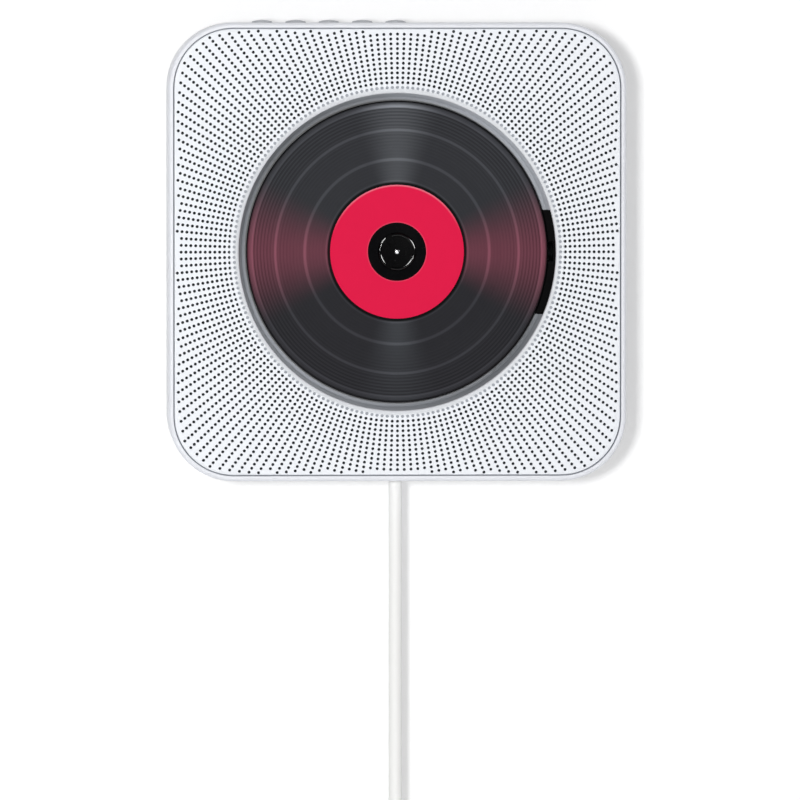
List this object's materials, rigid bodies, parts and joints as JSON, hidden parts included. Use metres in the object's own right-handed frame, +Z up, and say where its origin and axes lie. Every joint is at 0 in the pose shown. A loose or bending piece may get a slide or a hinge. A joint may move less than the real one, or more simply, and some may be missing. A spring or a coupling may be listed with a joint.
{
  "type": "wall mounted cd player",
  "caption": "Flat square disc player for a wall, with an open round disc well, a perforated front panel over its speakers, buttons along the top and a pull cord switch.",
  "frame": {"origin": "centre of the wall screws on the wall's surface, which is also the centre of the square casing seen from the front", "axes": "+X to the right, +Z up, +Y into the wall; the front faces -Y"},
  "size_m": [0.182, 0.0435, 0.4621],
  "materials": {
    "casing_white": "fine satin moulded plastic",
    "panel_white": "fine satin moulded plastic",
    "tray_grey": "satin grey moulded plastic",
    "mechanism_black": "smooth black plastic",
    "mat_rubber": "soft matt rubber",
    "speaker_cloth": "thin black acoustic cloth",
    "disc_clear": "polycarbonate, dark underneath",
    "disc_print": "glossy dark print with fine grooves",
    "label_red": "satin red print",
    "key_grey": "satin grey plastic",
    "bracket_steel": "white powder coat",
    "chassis_steel": "zinc plated sheet",
    "bright_steel": "ground steel",
    "motor_steel": "plated motor can",
    "gear_white": "acetal",
    "sled_black": "glass filled plastic",
    "lens_glass": "coated lens",
    "board_green": "solder resist",
    "part_black": "moulded epoxy",
    "core_steel": "laminated core",
    "speaker_black": "black painted steel",
    "cone_paper": "treated paper",
    "guide_white": "acetal",
    "cord_white": "soft white sleeve",
    "pin_nickel": "nickel plated brass"
  },
  "bodies": {
    "bracket": {"wall_bracket": "bracket_steel"},
    "player": {"rear_cover": "casing_white", "cover_screws": "bright_steel", "housing": "casing_white", "front_panel": "panel_white", "grille_cloth": "speaker_cloth", "well_tray": "tray_grey", "mechanism_cover": "mechanism_black", "chassis": "chassis_steel", "damper_grommets": "mat_rubber", "damper_screws": "bright_steel", "guide_rod": "bright_steel", "side_rod": "bright_steel", "spindle_motor": "motor_steel", "sled_motor": "motor_steel", "tact_switches": "part_black", "key_board": "board_green", "main_board": "board_green", "main_board_parts": "part_black", "power_board": "board_green", "transformer": "core_steel", "capacitors": "part_black", "speaker_frames": "speaker_black", "speaker_magnets": "core_steel", "speaker_cones": "cone_paper", "cord_bushing": "casing_white", "switch_guide": "guide_white", "return_spring": "bright_steel", "microswitch": "part_black"},
    "turntable": {"turntable": "mechanism_black", "turntable_mat": "mat_rubber", "spindle_shaft": "bright_steel"},
    "disc": {"disc": "disc_clear", "disc_face": "disc_print", "disc_label": "label_red"},
    "pickup": {"pickup_sled": "sled_black", "sled_rack": "gear_white"},
    "lens": {"lens_holder": "sled_black", "lens": "lens_glass"},
    "middle_gear": {"middle_gear": "gear_white"},
    "motor_gear": {"motor_gear": "gear_white", "motor_shaft": "bright_steel"},
    "pull": {"pull_slider": "guide_white", "strain_relief": "cord_white", "cord": "cord_white", "cord_coil": "cord_white", "cord_tie": "cord_white", "plug": "cord_white", "plug_pins": "pin_nickel"},
    "claw_1": {"hub_claw_1": "mechanism_black"},
    "claw_2": {"hub_claw_2": "mechanism_black"},
    "claw_3": {"hub_claw_3": "mechanism_black"},
    "button_1": {"button_1": "key_grey"},
    "button_2": {"button_2": "key_grey"},
    "button_3": {"button_3": "key_grey"},
    "button_4": {"button_4": "key_grey"},
    "button_5": {"button_5": "key_grey"}
  },
  "joints": [
    {"name": "lift_off", "type": "slide", "parent": "bracket", "child": "player", "axis": [0, 0, 1], "range_m": [0, 0.009]},
    {"name": "turntable_spin", "type": "hinge", "parent": "player", "child": "turntable", "pos_m": [0, -0.036, 0], "axis": [0, -1, 0], "continuous": true},
    {"name": "disc_lift", "type": "slide", "parent": "turntable", "child": "disc", "axis": [0, -1, 0], "range_m": [0, 0.03]},
    {"name": "pickup_slide", "type": "slide", "parent": "player", "child": "pickup", "axis": [1, 0, 0], "range_m": [0, 0.035]},
    {"name": "lens_focus", "type": "slide", "parent": "pickup", "child": "lens", "axis": [0, -1, 0], "range_m": [-0.0005, 0.0005], "stiffness_N_per_m": 60},
    {"name": "middle_gear_spin", "type": "hinge", "parent": "player", "child": "middle_gear", "pos_m": [0.041, -0.03, -0.018], "axis": [0, -1, 0], "range_deg": [-669, 0]},
    {"name": "motor_gear_spin", "type": "hinge", "parent": "player", "child": "motor_gear", "pos_m": [0.04966, -0.03, -0.023], "axis": [0, -1, 0], "range_deg": [0, 2674]},
    {"name": "cord_pull", "type": "slide", "parent": "player", "child": "pull", "axis": [0, 0, -1], "range_m": [0, 0.006], "stiffness_N_per_m": 600, "springref_m": -0.005, "deforming": ["return_spring"]},
    {"name": "claw_1_press", "type": "slide", "parent": "turntable", "child": "claw_1", "axis": [-1, 0, 0], "range_m": [0, 0.0004], "stiffness_N_per_m": 200},
    {"name": "claw_2_press", "type": "slide", "parent": "turntable", "child": "claw_2", "axis": [0.5, 0, -0.866], "range_m": [0, 0.0004], "stiffness_N_per_m": 200},
    {"name": "claw_3_press", "type": "slide", "parent": "turntable", "child": "claw_3", "axis": [0.5, 0, 0.866], "range_m": [0, 0.0004], "stiffness_N_per_m": 200},
    {"name": "button_1_press", "type": "slide", "parent": "player", "child": "button_1", "axis": [0, 0, -1], "range_m": [0, 0.0006], "stiffness_N_per_m": 1200, "springref_m": -0.0003},
    {"name": "button_2_press", "type": "slide", "parent": "player", "child": "button_2", "axis": [0, 0, -1], "range_m": [0, 0.0006], "stiffness_N_per_m": 1200, "springref_m": -0.0003},
    {"name": "button_3_press", "type": "slide", "parent": "player", "child": "button_3", "axis": [0, 0, -1], "range_m": [0, 0.0006], "stiffness_N_per_m": 1200, "springref_m": -0.0003},
    {"name": "button_4_press", "type": "slide", "parent": "player", "child": "button_4", "axis": [0, 0, -1], "range_m": [0, 0.0006], "stiffness_N_per_m": 1200, "springref_m": -0.0003},
    {"name": "button_5_press", "type": "slide", "parent": "player", "child": "button_5", "axis": [0, 0, -1], "range_m": [0, 0.0006], "stiffness_N_per_m": 1200, "springref_m": -0.0003}
  ],
  "couplings": [
    {"joint": "middle_gear_spin", "follows": "pickup_slide", "rad_per_m": -333.33},
    {"joint": "motor_gear_spin", "follows": "pickup_slide", "rad_per_m": 1333.3}
  ]
}
